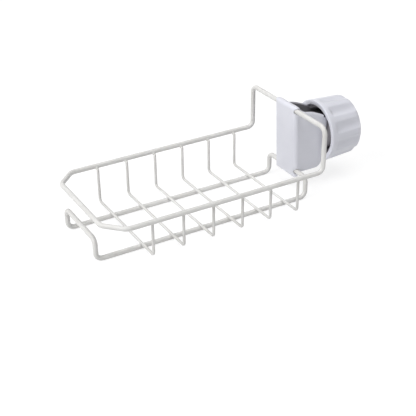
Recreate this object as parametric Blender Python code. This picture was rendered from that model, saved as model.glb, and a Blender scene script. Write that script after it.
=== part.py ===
# Sink organizer rack: a coated wire basket that a screw clamp holds to a faucet neck.
# Metres, +Z up. The basket runs along X: its tip is at -X, the clamp and its nut at +X.
# Sizes below are measured from two datums: X = 0 is the centreline of the upper crossbar
# that the clamp holds, Z = 0 is the centreline of the base rails, and Y = 0 is the middle.
# One empty then moves everything so that the rack stands centred on the origin.

import math

import bmesh
import bpy
from mathutils import Matrix, Vector

# Clearances
SEAT_GAP = 0.0003
RUN_GAP = 0.0004
OVERRUN = 0.0020
FLAT_ANGLE = 0.0005

# Wires
THICK_WIRE = 0.0040
THIN_WIRE = 0.0023

# Basket rim, uprights and upper crossbar, all one wire
RIM_WIDTH = 0.1050
RIM_LENGTH = 0.1895
RIM_HEIGHT = 0.0348
TIP_WIDTH = 0.0752
TIP_CUT = 0.0145
TIP_BEND = 0.0080
UPRIGHT_BEND = 0.0065
CROSSBAR_HEIGHT = 0.0733
TOP_BEND = 0.0060

# Base rails and their end bars, all one wire
BASE_WIDTH = 0.0547
BASE_LENGTH = 0.1910
BASE_SETBACK = 0.0019
BASE_RISE = 0.0178
BASE_BEND = 0.0055

# Thin wires across the basket
CROSS_COUNT = 6
CROSS_PITCH = 0.0263
LAST_CROSS = 0.0215
CROSS_BEND = 0.0030
CROSS_DROP = 0.0008

# Clamp housing: front cover and rear body
HOUSING_WIDTH = 0.0302
HOUSING_SETBACK = 0.0005
WRAP_WALL = 0.0011
COVER_CORNER = 0.0041
EDGE_ROUND = 0.0018
LIP_DEPTH = 0.0053
LIP_ROUND = 0.0012
COVER_SKIN = 0.0012
POCKET_WALL = 0.0026
POCKET_RIM = 0.0035
SCREW_BAR = 0.0066
PLATE_BACK = 0.0076
PLATE_SKIN = 0.0028
WALL_THICK = 0.0026
WALL_END = 0.0284
WALL_BOTTOM_DROP = 0.0008
WALL_BELLY_DROP = 0.0022
BELLY_START = 0.0145
HEEL_ROUND = 0.0070
WALL_TOP_DROP = 0.0023
WALL_TOP_FALL = 0.0074
WALL_TOP_POWER = 1.8
NECK_LENGTH = 0.0036
NECK_DROP = 0.0026

# Threaded jaw inside the housing
JAW_WALL = 0.0019
JAW_BASE = 0.0022
JAW_REVEAL = 0.0004
JAW_LIFT = 0.0022
JAW_HEEL = 0.0044

# Housing screws
SCREW_INSET = 0.0127
SCREW_RADIUS = 0.00125
SCREW_HEAD_RADIUS = 0.0027
SCREW_HEAD_HEIGHT = 0.0012
SCREW_WEB = 0.0006
SCREW_SIDES = 16
POINT_SHARE = 0.6
HEAD_RIM_SHARE = 0.6
HEAD_TOP_SHARE = 0.75
DRIVE_WIDTH_SHARE = 0.22
DRIVE_SPAN_SHARE = 1.1
DRIVE_DEPTH_SHARE = 0.55

# Rubber grip liner on the jaw's base
LINER_THICK = 0.0015
LINER_MARGIN = 0.0014
LINER_CORNER = 0.0020

# Thread shared by the jaw's legs and the nut's sleeve
NUT_DROP = 0.00185
PITCH = 0.0040
LEG_CORE = 0.0170
LEG_CREST = 0.0180
RIDGE_TIP = 0.0010
RIDGE_FOOT = 0.0018
RIDGE_ROOT = 0.0004
LEG_INSET = 0.0053
LEG_LENGTH = 0.0246
THREAD_START = 0.0036
THREAD_STEPS = 24
RIDGE_FADE_SHARE = 0.3

# Nut, its threaded sleeve and its end cap
NUT_RADIUS = 0.0272
NUT_BACK_RADIUS = 0.0256
NUT_FRONT = 0.0290
NUT_LENGTH = 0.0328
NUT_LIP = 0.0007
NUT_MOUTH = 0.0009
NUT_BORE = 0.0227
NUT_BAND = 0.0056
NUT_SHOULDER = 0.0045
FLUTES = 11
FLUTE_DEPTH = 0.0008
FLUTE_RUNOUT = 0.0030
FLUTE_TURN_SHARE = 0.88
FLUTE_POWER = 1.6
FLUTE_STEPS = 8
ROUND_STEPS = 5
SLEEVE_SETBACK = 0.0045
SLEEVE_CHAMFER = 0.0014
CAP_THICK = 0.0029
CAP_RECESS = 0.0004
CAP_EDGE = 0.0005
BOSS_RADIUS = 0.0080
BOSS_LENGTH = 0.0031

# Presser that pushes on the faucet neck
PRESSER_FACE = 0.0265
PAD_THICK = 0.0015
PLATE_THICK = 0.0030
PRESSER_INSET = 0.0018
PRESSER_CORNER = 0.0040
PAD_MARGIN = 0.0010
STEM_RADIUS = 0.0055
GUSSET_THICK = 0.0020
GUSSET_LENGTH = 0.0060

# Swivel screw and washer that tie the presser to the nut's cap
SWIVEL_RADIUS = 0.0015
SWIVEL_LENGTH = 0.0140
SWIVEL_HEAD_RADIUS = 0.0034
SWIVEL_HEAD_HEIGHT = 0.0017
WASHER_RADIUS = 0.0052
WASHER_THICK = 0.0008

# Sizes that follow from the ones above
THICK_R = THICK_WIRE / 2
THIN_R = THIN_WIRE / 2
HALF_WIDTH = HOUSING_WIDTH / 2
WRAP_R = THICK_R + SEAT_GAP + WRAP_WALL
GROOVE_R = THICK_R + SEAT_GAP
LIP_BOTTOM = BASE_RISE - LIP_DEPTH
CROWN_TOP = CROSSBAR_HEIGHT + WRAP_R
CROWN_END = HOUSING_SETBACK + WRAP_R
FACE_LEAN = math.atan(BASE_SETBACK / (CROSSBAR_HEIGHT - BASE_RISE))
WALL_BOTTOM = BASE_RISE - WALL_BOTTOM_DROP
WALL_BELLY = BASE_RISE - WALL_BELLY_DROP
WALL_TOP_START = CROSSBAR_HEIGHT - WALL_TOP_DROP
WALL_TOP_END = WALL_TOP_START - WALL_TOP_FALL
SCREW_HEIGHTS = (BASE_RISE + SCREW_INSET, CROSSBAR_HEIGHT - SCREW_INSET)
NUT_HEIGHT = (BASE_RISE + CROSSBAR_HEIGHT) / 2 - NUT_DROP
NECK_HALF_HEIGHT = WALL_TOP_END - NUT_HEIGHT - NECK_DROP
LEG_HALF_HEIGHT = NECK_HALF_HEIGHT - LEG_INSET
PRESSER_HALF_HEIGHT = NECK_HALF_HEIGHT - PRESSER_INSET
NECK_END = WALL_END + NECK_LENGTH
HOUSING_HALF = HALF_WIDTH - WALL_THICK
JAW_HALF = HOUSING_HALF - SEAT_GAP
CHANNEL_HALF = JAW_HALF - JAW_WALL
JAW_START = PLATE_BACK + SEAT_GAP
JAW_FACE = JAW_START + JAW_BASE
JAW_LOW = WALL_BOTTOM + JAW_LIFT
SCREW_FLOOR = JAW_START + SCREW_WEB
LINER_FACE = JAW_FACE + SEAT_GAP + LINER_THICK
LEG_START = NECK_END + RUN_GAP
LEG_END = LEG_START + LEG_LENGTH
RIDGE_START = LEG_START + THREAD_START
SLEEVE_OUTER = NUT_BORE - SEAT_GAP
SLEEVE_MAJOR = LEG_CREST + RUN_GAP
SLEEVE_MINOR = LEG_CORE + RUN_GAP
SLEEVE_FRONT = NUT_FRONT + SLEEVE_SETBACK
NUT_END = NUT_FRONT + NUT_LENGTH
CAP_OUTER = NUT_END - CAP_RECESS
CAP_INNER = CAP_OUTER - CAP_THICK
SLEEVE_END = CAP_INNER - SEAT_GAP
CAP_SEAT_RADIUS = NUT_BACK_RADIUS - NUT_SHOULDER
BOSS_END = CAP_INNER - BOSS_LENGTH
STEM_END = BOSS_END - SEAT_GAP
PLATE_FRONT = PRESSER_FACE + PAD_THICK + SEAT_GAP
PRESSER_HALF_WIDTH = CHANNEL_HALF - RUN_GAP
HEAD_SEAT = CAP_OUTER - SEAT_GAP - SWIVEL_HEAD_HEIGHT
WASHER_OUTER = HEAD_SEAT - SEAT_GAP
WASHER_SEAT = WASHER_OUTER - WASHER_THICK
RECESS_FLOOR = WASHER_SEAT - SEAT_GAP
RACK_START = -BASE_LENGTH - THICK_R
CENTRE_X = (RACK_START + NUT_END) / 2
NUT_ORIGIN = Vector((NUT_FRONT, 0, NUT_HEIGHT))

# Materials: name, linear colour, metallic, roughness
COATED_WIRE = ("coated_wire", (0.70, 0.695, 0.68), 0.0, 0.40)
HOUSING_PLASTIC = ("housing_plastic", (0.70, 0.705, 0.765), 0.0, 0.34)
DARK_PLASTIC = ("dark_plastic", (0.24, 0.23, 0.25), 0.0, 0.45)
DARK_RUBBER = ("dark_rubber", (0.055, 0.053, 0.062), 0.0, 0.85)
SCREW_STEEL = ("screw_steel", (0.56, 0.57, 0.58), 1.0, 0.35)


def clear_scene():
    for old in list(bpy.data.objects):
        bpy.data.objects.remove(old, do_unlink=True)


def get_material(spec):
    name, colour, metallic, roughness = spec
    found = bpy.data.materials.get(name)
    if found:
        return found
    made = bpy.data.materials.new(name)
    made.use_nodes = True
    shader = made.node_tree.nodes["Principled BSDF"]
    shader.inputs["Base Color"].default_value = (*colour, 1.0)
    shader.inputs["Metallic"].default_value = metallic
    shader.inputs["Roughness"].default_value = roughness
    made.diffuse_color = (*colour, 1.0)
    return made


def make_empty(name, place, parent=None):
    empty = bpy.data.objects.new(name, None)
    bpy.context.collection.objects.link(empty)
    empty.parent = parent
    empty.location = place
    return empty


def add_object(name, data, parent, spec=None):
    obj = bpy.data.objects.new(name, data)
    bpy.context.collection.objects.link(obj)
    obj.parent = parent
    if spec:
        data.materials.append(get_material(spec))
    return obj


def mesh_object(name, bm, parent, spec=None, origin=Vector((0, 0, 0))):
    """Close the bmesh into an object whose own origin lies at the given place."""
    bmesh.ops.translate(bm, verts=bm.verts, vec=-Vector(origin))
    bmesh.ops.connect_verts_nonplanar(bm, angle_limit=FLAT_ANGLE, faces=bm.faces)
    bmesh.ops.recalc_face_normals(bm, faces=bm.faces)
    mesh = bpy.data.meshes.new(name)
    bm.to_mesh(mesh)
    bm.free()
    obj = add_object(name, mesh, parent, spec)
    obj.location = origin
    return obj


def use_tool(obj, tool, operation, solver="EXACT"):
    """Cut, join or keep with another solid, which stays hidden.

    The housing halves have faces that lie in one plane with their tools' faces, where
    EXACT leaves open edges, so they pass MANIFOLD; so do the legs.
    """
    tool.hide_render = True
    tool.display_type = "WIRE"
    boolean = obj.modifiers.new(tool.name, "BOOLEAN")
    boolean.solver = solver
    boolean.operation = operation
    boolean.object = tool


# Outlines and solids

def fillet(points, radii, steps, closed=True):
    """Round the corners of a line of points, in 2-D or 3-D, with arcs of the given radii."""
    corners = [Vector(p) for p in points]
    count = len(corners)
    rounded = []
    for i, corner in enumerate(corners):
        radius = radii[i]
        if radius == 0 or (not closed and i in (0, count - 1)):
            rounded.append(corner)
            continue
        back = (corners[i - 1] - corner).normalized()
        ahead = (corners[(i + 1) % count] - corner).normalized()
        half = back.angle(ahead) / 2
        middle = corner + (back + ahead).normalized() * (radius / math.sin(half))
        start = corner + back * (radius / math.tan(half))
        end = corner + ahead * (radius / math.tan(half))
        arm, last = start - middle, end - middle
        sweep = arm.angle(last)
        for k in range(steps + 1):
            near = math.sin(sweep * (steps - k) / steps)
            far = math.sin(sweep * k / steps)
            rounded.append(middle + (arm * near + last * far) / math.sin(sweep))
    return rounded


def prism(outline, start, end, place):
    """Extrude an outline from start to end; place turns (u, v, w) into a point."""
    bm = bmesh.new()
    floor = [bm.verts.new(place(p[0], p[1], start)) for p in outline]
    base = bm.faces.new(floor)
    extruded = bmesh.ops.extrude_face_region(bm, geom=[base])
    moved = [g for g in extruded["geom"] if isinstance(g, bmesh.types.BMVert)]
    shift = Vector(place(0, 0, end)) - Vector(place(0, 0, start))
    bmesh.ops.translate(bm, verts=moved, vec=shift)
    return bm


def along_y(x, z, y):
    return (x, y, z)


def along_z(x, y, z):
    return (x, y, z)


def along_x(y, z, x):
    return (x, y, z)


def box(low, high):
    bm = bmesh.new()
    size = Vector(high) - Vector(low)
    middle = (Vector(high) + Vector(low)) / 2
    bmesh.ops.create_cube(bm, size=1, matrix=Matrix.Translation(middle) @ Matrix.Diagonal((*size, 1)))
    return bm


def lathe_ring(bm, x, radius, height, sides, depth=0, wave=None):
    """A ring of points about an axis along X, drawn in by a wave of the given depth."""
    ring = []
    for k in range(sides):
        angle = 2 * math.pi * k / sides
        reach = radius - (depth * wave(angle) if wave else 0)
        ring.append(bm.verts.new((x, reach * math.cos(angle), height + reach * math.sin(angle))))
    return ring


def bridge(bm, near, far):
    """Join two rings of equal count with faces."""
    for k in range(len(near)):
        after = (k + 1) % len(near)
        bm.faces.new((near[k], near[after], far[after], far[k]))


def lathe(profile, height, sides, wave=None):
    """Turn a closed (x, radius, wave depth) profile about an axis along X at a height."""
    bm = bmesh.new()
    rings = [lathe_ring(bm, x, radius, height, sides, depth, wave) for x, radius, depth in profile]
    for near, far in zip(rings, rings[1:] + rings[:1]):
        bridge(bm, near, far)
    return bm


def rod(start, end, radius, height, sides, y=0):
    """A plain round bar along X."""
    bm = bmesh.new()
    turn = Matrix.Rotation(math.pi / 2, 4, "Y")
    middle = Matrix.Translation(((start + end) / 2, y, height))
    bmesh.ops.create_cone(bm, cap_ends=True, segments=sides, radius1=radius, radius2=radius,
                          depth=end - start, matrix=middle @ turn)
    return bm


def cross_bar(x, z, radius, sides):
    """A round bar along Y, longer than the housing is wide."""
    bm = bmesh.new()
    turn = Matrix.Rotation(math.pi / 2, 4, "X")
    bmesh.ops.create_cone(bm, cap_ends=True, segments=sides, radius1=radius, radius2=radius,
                          depth=HOUSING_WIDTH + 2 * OVERRUN, matrix=Matrix.Translation((x, 0, z)) @ turn)
    return bm


def helix_ridge(start, turns, foot_radius, tip_radius):
    """One right-hand thread ridge about the nut's axis, running out at both ends."""
    bm = bmesh.new()
    count = int(turns * THREAD_STEPS)
    rings = []
    for k in range(count + 1):
        angle = 2 * math.pi * k / THREAD_STEPS
        x = start + PITCH * k / THREAD_STEPS
        fade = min(1, 2 * k / THREAD_STEPS, 2 * (count - k) / THREAD_STEPS)
        tip = foot_radius + (tip_radius - foot_radius) * max(fade, RIDGE_FADE_SHARE)
        section = ((-RIDGE_FOOT / 2, foot_radius), (-RIDGE_TIP / 2, tip),
                   (RIDGE_TIP / 2, tip), (RIDGE_FOOT / 2, foot_radius))
        rings.append([bm.verts.new((x + dx, r * math.cos(angle), NUT_HEIGHT + r * math.sin(angle)))
                      for dx, r in section])
    for near, far in zip(rings, rings[1:]):
        bridge(bm, near, far)
    bm.faces.new(rings[0])
    bm.faces.new(rings[-1])
    return bm


# Wire basket

def wire(name, points, radii, diameter, rounding, parent, closed):
    """A round wire along a filleted path, as a bevelled curve with filled ends."""
    path = fillet(points, radii, 5, closed)
    curve = bpy.data.curves.new(name, "CURVE")
    curve.dimensions = "3D"
    curve.bevel_depth = diameter / 2
    curve.bevel_resolution = rounding
    curve.use_fill_caps = True
    curve.resolution_u = 1
    curve.render_resolution_u = 0
    spline = curve.splines.new("POLY")
    spline.points.add(len(path) - 1)
    for point, place in zip(spline.points, path):
        point.co = (*place, 1)
    spline.use_cyclic_u = closed
    return add_object(name, curve, parent, COATED_WIRE)


def build_rim(parent):
    side = RIM_WIDTH / 2
    tip = TIP_WIDTH / 2
    points = [(0, side, CROSSBAR_HEIGHT), (0, side, RIM_HEIGHT),
              (TIP_CUT - RIM_LENGTH, side, RIM_HEIGHT), (-RIM_LENGTH, tip, RIM_HEIGHT)]
    radii = [TOP_BEND, UPRIGHT_BEND, TIP_BEND, TIP_BEND]
    points += [(x, -y, z) for x, y, z in reversed(points)]
    radii += list(reversed(radii))
    wire("rim_wire", points, radii, THICK_WIRE, 4, parent, True)


def build_base(parent):
    side = BASE_WIDTH / 2
    points = [(BASE_SETBACK, side, BASE_RISE), (BASE_SETBACK, side, 0),
              (-BASE_LENGTH, side, 0), (-BASE_LENGTH, side, BASE_RISE)]
    points += [(x, -y, z) for x, y, z in reversed(points)]
    wire("base_wire", points, [BASE_BEND] * len(points), THICK_WIRE, 4, parent, True)


def build_cross_wires(parent):
    """U-shaped thin wires: they lie on the base rails and end inside the rim."""
    side = RIM_WIDTH / 2 - THICK_R - SEAT_GAP - THIN_R
    floor = THICK_R + SEAT_GAP + THIN_R
    top = RIM_HEIGHT - CROSS_DROP
    for i in range(CROSS_COUNT):
        x = -LAST_CROSS - CROSS_PITCH * (CROSS_COUNT - 1 - i)
        points = [(x, side, top), (x, side, floor), (x, -side, floor), (x, -side, top)]
        wire(f"cross_wire_{i + 1}", points, [CROSS_BEND] * len(points), THIN_WIRE, 2, parent, False)


# Clamp housing

def seam(height):
    """Where the cover meets the body, which leans because the lower crossbar lies further back."""
    return HOUSING_SETBACK + (CROSSBAR_HEIGHT - height) * math.tan(FACE_LEAN)


def lean(bm):
    """Turn a piece of the upright cover about the crown, so that it follows the seam."""
    bmesh.ops.rotate(bm, verts=bm.verts, cent=(HOUSING_SETBACK, 0, CROSSBAR_HEIGHT),
                     matrix=Matrix.Rotation(-FACE_LEAN, 3, "Y"))
    return bm


def wall_top(x, lowered=0):
    """Height of the housing's sloping top edge at a distance behind the crossbar."""
    share = max(0, (x - CROWN_END) / (WALL_END - CROWN_END))
    return WALL_TOP_START - (WALL_TOP_START - WALL_TOP_END) * share ** WALL_TOP_POWER - lowered


def crown(start_angle, end_angle, steps):
    """Arc about the upper crossbar; angles are measured from +X towards +Z."""
    arc = []
    for k in range(steps + 1):
        angle = start_angle + (end_angle - start_angle) * k / steps
        arc.append((HOUSING_SETBACK + WRAP_R * math.cos(angle),
                    CROSSBAR_HEIGHT + WRAP_R * math.sin(angle)))
    return arc


def round_sides(bm, keep_from, keep_to):
    """Round the edges around the two side faces, except those along a line in the side view."""
    start = Vector((keep_from[0], 0, keep_from[1]))
    line = (Vector((keep_to[0], 0, keep_to[1])) - start).normalized()
    chosen = []
    for edge in bm.edges:
        a, b = (v.co for v in edge.verts)
        on_side = abs(a.y - b.y) < SEAT_GAP and abs(abs(a.y) - HALF_WIDTH) < SEAT_GAP
        in_seam = max(abs((p - start).cross(line).y) for p in (a, b)) < SEAT_GAP / 2
        if on_side and not in_seam:
            chosen.append(edge)
    bmesh.ops.bevel(bm, geom=chosen, offset=EDGE_ROUND, segments=2, profile=0.5, affect="EDGES")


def pockets(front, back, half, name, parent, target, place=None):
    """Hollow the housing between its rims and the two bars that take the screws."""
    low = BASE_RISE + GROOVE_R + POCKET_RIM
    high = CROSSBAR_HEIGHT - GROOVE_R - POCKET_RIM
    edges = [low]
    for bar in SCREW_HEIGHTS:
        edges += [bar - SCREW_BAR / 2, bar + SCREW_BAR / 2]
    edges.append(high)
    for i in range(0, len(edges), 2):
        hollow = box((front, -half, edges[i]), (back, half, edges[i + 1]))
        if place:
            hollow = place(hollow)
        use_tool(target, mesh_object(f"{name}_{i // 2}", hollow, parent), "DIFFERENCE", "MANIFOLD")


def groove_tools(name, parent, target):
    upper = mesh_object(f"{name}_upper", cross_bar(0, CROSSBAR_HEIGHT, GROOVE_R, 24), parent)
    lower = mesh_object(f"{name}_lower", cross_bar(BASE_SETBACK, BASE_RISE, GROOVE_R, 24), parent)
    use_tool(target, upper, "DIFFERENCE", "MANIFOLD")
    use_tool(target, lower, "DIFFERENCE", "MANIFOLD")


def screw_holes(name, start, end, radius, parent, target):
    for i, height in enumerate(SCREW_HEIGHTS):
        hole = rod(start, end, radius, height, SCREW_SIDES)
        use_tool(target, mesh_object(f"{name}_{i}", hole, parent), "DIFFERENCE", "MANIFOLD")


def cover_floor(height):
    """Inner side of the cover's skin, where a cover screw's hole ends."""
    return seam(height) - WRAP_R + COVER_SKIN


def build_cover(parent):
    """Front half of the housing: it wraps both crossbars and its face looks at the basket."""
    back = HOUSING_SETBACK
    front = back - WRAP_R
    half = HALF_WIDTH
    side_view = fillet([(back, LIP_BOTTOM), (front, LIP_BOTTOM), (front, CROSSBAR_HEIGHT)],
                       [0, LIP_ROUND, 0], 3, False)[:-1]
    side_view += crown(math.pi, math.pi / 2, 5)
    bm = prism(side_view, -half, half, along_y)
    round_sides(bm, (back, LIP_BOTTOM), (back, CROWN_TOP))
    cover = mesh_object("front_cover", lean(bm), parent, HOUSING_PLASTIC)
    plan = fillet([(OVERRUN, -half), (front, -half), (front, half), (OVERRUN, half)],
                  [0, COVER_CORNER, COVER_CORNER, 0], 6)
    corner_tool = mesh_object("cover_plan", lean(prism(plan, 0, CROWN_TOP + OVERRUN, along_z)), parent)
    use_tool(cover, corner_tool, "INTERSECT", "MANIFOLD")
    pockets(front + COVER_SKIN, back + OVERRUN, half - POCKET_WALL, "cover_pocket", parent, cover, lean)
    groove_tools("cover_groove", parent, cover)
    for i, height in enumerate(SCREW_HEIGHTS):
        hole = rod(cover_floor(height), seam(height) + OVERRUN, SCREW_RADIUS + SEAT_GAP, height,
                   SCREW_SIDES)
        use_tool(cover, mesh_object(f"cover_hole_{i}", hole, parent), "DIFFERENCE", "MANIFOLD")


def housing_outline():
    """Side view of the rear half, from its lower front corner round to the crown."""
    steps = 7
    lower = fillet([(seam(WALL_BOTTOM) + SEAT_GAP, WALL_BOTTOM), (BELLY_START / 2, WALL_BOTTOM),
                    (BELLY_START, WALL_BELLY), (WALL_END, WALL_BELLY),
                    (WALL_END, NUT_HEIGHT - NECK_HALF_HEIGHT)], [0, 0, 0, HEEL_ROUND, 0], 4, False)
    neck = [(NECK_END, NUT_HEIGHT - NECK_HALF_HEIGHT), (NECK_END, NUT_HEIGHT + NECK_HALF_HEIGHT),
            (WALL_END, NUT_HEIGHT + NECK_HALF_HEIGHT)]
    reach = WALL_END - CROWN_END
    upper = [(WALL_END - reach * k / steps, wall_top(WALL_END - reach * k / steps)) for k in range(steps)]
    seam_angle = FACE_LEAN + math.acos(SEAT_GAP * math.cos(FACE_LEAN) / WRAP_R)
    return lower + neck + upper + crown(0, seam_angle, 4)


def build_body(parent):
    """Rear half of the housing: back plate and two side walls whose necks enter the nut."""
    outline = housing_outline()
    bm = prism(outline, -HALF_WIDTH, HALF_WIDTH, along_y)
    round_sides(bm, outline[0], outline[-1])
    body = mesh_object("clamp_body", bm, parent, HOUSING_PLASTIC)
    channel = box((PLATE_BACK, -HOUSING_HALF, -OVERRUN),
                  (NECK_END + OVERRUN, HOUSING_HALF, CROWN_TOP + OVERRUN))
    use_tool(body, mesh_object("body_channel", channel, parent), "DIFFERENCE", "MANIFOLD")
    pockets(-OVERRUN, PLATE_BACK - PLATE_SKIN, HOUSING_HALF, "body_pocket", parent, body)
    groove_tools("body_groove", parent, body)
    screw_holes("body_hole", -OVERRUN, PLATE_BACK + OVERRUN, SCREW_RADIUS + SEAT_GAP, parent, body)


# Threaded jaw

def build_legs(parent):
    """The jaw's legs run on into the nut as two slices of a threaded bar."""
    core = rod(NECK_END - OVERRUN, LEG_END, LEG_CORE, NUT_HEIGHT, 48)
    legs = mesh_object("leg_bar", core, parent)
    turns = (LEG_END - RIDGE_START - RIDGE_FOOT) / PITCH
    ridge = helix_ridge(RIDGE_START, turns, LEG_CORE - RIDGE_ROOT, LEG_CREST)
    use_tool(legs, mesh_object("leg_ridge", ridge, parent), "UNION")
    slices = box((NECK_END - 2 * OVERRUN, -LEG_CREST - OVERRUN, NUT_HEIGHT - LEG_HALF_HEIGHT),
                 (LEG_END + OVERRUN, LEG_CREST + OVERRUN, NUT_HEIGHT + LEG_HALF_HEIGHT))
    use_tool(legs, mesh_object("leg_slice", slices, parent), "INTERSECT", "MANIFOLD")
    return legs


def build_jaw(parent):
    """U-shaped jaw that lines the housing and carries the thread that the nut runs on."""
    steps = 6
    start, end = JAW_START, NECK_END - RUN_GAP
    low = JAW_LOW
    reach = WALL_END - start
    outline = [(start, low), (WALL_END - JAW_HEEL, low), (WALL_END, low + JAW_HEEL),
               (WALL_END, NUT_HEIGHT - NECK_HALF_HEIGHT + JAW_REVEAL),
               (end, NUT_HEIGHT - NECK_HALF_HEIGHT + JAW_REVEAL),
               (end, NUT_HEIGHT + NECK_HALF_HEIGHT - JAW_REVEAL)]
    outline += [(WALL_END - reach * k / steps, wall_top(WALL_END - reach * k / steps, 2 * JAW_REVEAL))
                for k in range(steps + 1)]
    jaw = mesh_object("threaded_jaw", prism(outline, -JAW_HALF, JAW_HALF, along_y), parent, DARK_PLASTIC)
    legs = build_legs(parent)
    for i, side in enumerate((-1, 1)):
        inner, outer = sorted((side * (JAW_HALF - SEAT_GAP), side * (LEG_CREST + OVERRUN)))
        relief = box((NECK_END - 2 * OVERRUN, inner, NUT_HEIGHT - LEG_CREST),
                     (LEG_START, outer, NUT_HEIGHT + LEG_CREST))
        use_tool(legs, mesh_object(f"leg_relief_{i}", relief, parent), "DIFFERENCE", "MANIFOLD")
    use_tool(jaw, legs, "UNION", "MANIFOLD")
    channel = box((JAW_FACE, -CHANNEL_HALF, -OVERRUN), (LEG_END + OVERRUN, CHANNEL_HALF, CROWN_TOP))
    use_tool(jaw, mesh_object("jaw_channel", channel, parent), "DIFFERENCE", "MANIFOLD")
    screw_holes("jaw_hole", PLATE_BACK, JAW_FACE + OVERRUN, SCREW_RADIUS + SEAT_GAP, parent, jaw)
    screw_holes("jaw_bore", SCREW_FLOOR, JAW_FACE + OVERRUN, SCREW_HEAD_RADIUS + SEAT_GAP, parent, jaw)


# Screws

def screw(seat, length, radius, head_radius, head_height, height):
    """A pan-head screw along X: its head lies at +X of its seat and its shank at -X."""
    tip = seat - length
    profile = [(tip + radius * POINT_SHARE, radius), (seat, radius), (seat, head_radius),
               (seat + head_height * HEAD_RIM_SHARE, head_radius),
               (seat + head_height, head_radius * HEAD_TOP_SHARE)]
    bm = bmesh.new()
    point = bm.verts.new((tip, 0, height))
    rings = [lathe_ring(bm, x, r, height, SCREW_SIDES) for x, r in profile]
    for k in range(SCREW_SIDES):
        bm.faces.new((point, rings[0][k], rings[0][(k + 1) % SCREW_SIDES]))
    for near, far in zip(rings, rings[1:]):
        bridge(bm, near, far)
    bm.faces.new(rings[-1])
    return bm


def build_screw(name, seat, length, radius, head_radius, head_height, height, parent, origin):
    """A screw with a cross recess cut by two slots."""
    shape = screw(seat, length, radius, head_radius, head_height, height)
    made = mesh_object(name, shape, parent, SCREW_STEEL, origin)
    top = seat + head_height
    depth = head_height * DRIVE_DEPTH_SHARE
    narrow = head_radius * DRIVE_WIDTH_SHARE / 2
    wide = head_radius * DRIVE_SPAN_SHARE / 2
    for i, (half_y, half_z) in enumerate(((narrow, wide), (wide, narrow))):
        slot = box((top - depth, -half_y, height - half_z), (top + OVERRUN, half_y, height + half_z))
        use_tool(made, mesh_object(f"{name}_drive_{i}", slot, parent, None, origin), "DIFFERENCE")


def build_cover_screws(parent):
    """Two screws hold the cover to the body, under the liner."""
    seat = SCREW_FLOOR + SEAT_GAP
    for name, height in zip(("cover_screw_lower", "cover_screw_upper"), SCREW_HEIGHTS):
        length = seat - cover_floor(height) - SEAT_GAP
        build_screw(name, seat, length, SCREW_RADIUS, SCREW_HEAD_RADIUS, SCREW_HEAD_HEIGHT, height,
                    parent, Vector((0, 0, 0)))


# Grip liner

def rounded_plate(half_width, low, high, corner, start, end):
    """A plate across X with rounded corners."""
    outline = fillet([(-half_width, low), (half_width, low), (half_width, high), (-half_width, high)],
                     [corner] * 4, 5)
    return prism(outline, start, end, along_x)


def build_liner(parent):
    """Flat rubber liner that the faucet neck rests against."""
    high = wall_top(LINER_FACE, 2 * JAW_REVEAL + LINER_MARGIN)
    pad = rounded_plate(CHANNEL_HALF - SEAT_GAP, JAW_LOW + LINER_MARGIN, high, LINER_CORNER,
                        JAW_FACE + SEAT_GAP, LINER_FACE)
    mesh_object("grip_liner", pad, parent, DARK_RUBBER)


# Nut

def flute_wave(angle):
    """Depth of the finger flutes around the nut, from 0 on a land to 1 in a flute.

    The power makes the flutes narrower than the lands.
    """
    swing = 0.5 + 0.5 * math.cos(FLUTES * angle - 2 * math.pi * FLUTE_TURN_SHARE)
    return swing ** FLUTE_POWER


def build_nut(parent):
    """Outer shell with finger flutes, a plain front band and a lip behind the sleeve."""
    land_start = NUT_FRONT + NUT_BAND
    land_end = NUT_END - NUT_SHOULDER
    taper = (NUT_RADIUS - NUT_BACK_RADIUS) / (land_end - NUT_FRONT)
    profile = [(NUT_FRONT + NUT_MOUTH, NUT_BORE, 0), (NUT_FRONT, NUT_BORE + NUT_MOUTH, 0),
               (NUT_FRONT, NUT_RADIUS - NUT_LIP, 0)]
    for x, depth in ((NUT_FRONT + NUT_LIP, 0), (land_start, 0), (land_start + FLUTE_RUNOUT, FLUTE_DEPTH),
                     (land_end - FLUTE_RUNOUT, FLUTE_DEPTH)):
        profile.append((x, NUT_RADIUS - taper * (x - NUT_FRONT), depth))
    drop = NUT_SHOULDER - SEAT_GAP
    for k in range(ROUND_STEPS + 1):
        angle = math.pi / 2 * k / ROUND_STEPS
        profile.append((land_end + NUT_SHOULDER * math.sin(angle),
                        NUT_BACK_RADIUS - drop * (1 - math.cos(angle)), 0))
    profile += [(CAP_OUTER, CAP_SEAT_RADIUS, 0), (CAP_INNER, CAP_SEAT_RADIUS, 0), (CAP_INNER, NUT_BORE, 0)]
    bm = lathe(profile, NUT_HEIGHT, FLUTES * FLUTE_STEPS, flute_wave)
    mesh_object("clamp_nut", bm, parent, HOUSING_PLASTIC, NUT_ORIGIN)


def build_sleeve(parent):
    """Dark threaded sleeve inside the nut, in mesh with the legs' thread."""
    profile = [(SLEEVE_FRONT, SLEEVE_OUTER, 0), (SLEEVE_END, SLEEVE_OUTER, 0), (SLEEVE_END, SLEEVE_MAJOR, 0),
               (SLEEVE_FRONT + SLEEVE_CHAMFER, SLEEVE_MAJOR, 0),
               (SLEEVE_FRONT, SLEEVE_MAJOR + SLEEVE_CHAMFER, 0)]
    sleeve = mesh_object("nut_thread_sleeve", lathe(profile, NUT_HEIGHT, 48), parent, DARK_PLASTIC,
                         NUT_ORIGIN)
    start = RIDGE_START + PITCH / 2
    turns = (SLEEVE_END - RIDGE_FOOT - start) / PITCH
    ridge = helix_ridge(start, turns, SLEEVE_MAJOR + RIDGE_ROOT, SLEEVE_MINOR)
    use_tool(sleeve, mesh_object("sleeve_ridge", ridge, parent, None, NUT_ORIGIN), "UNION")


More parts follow.
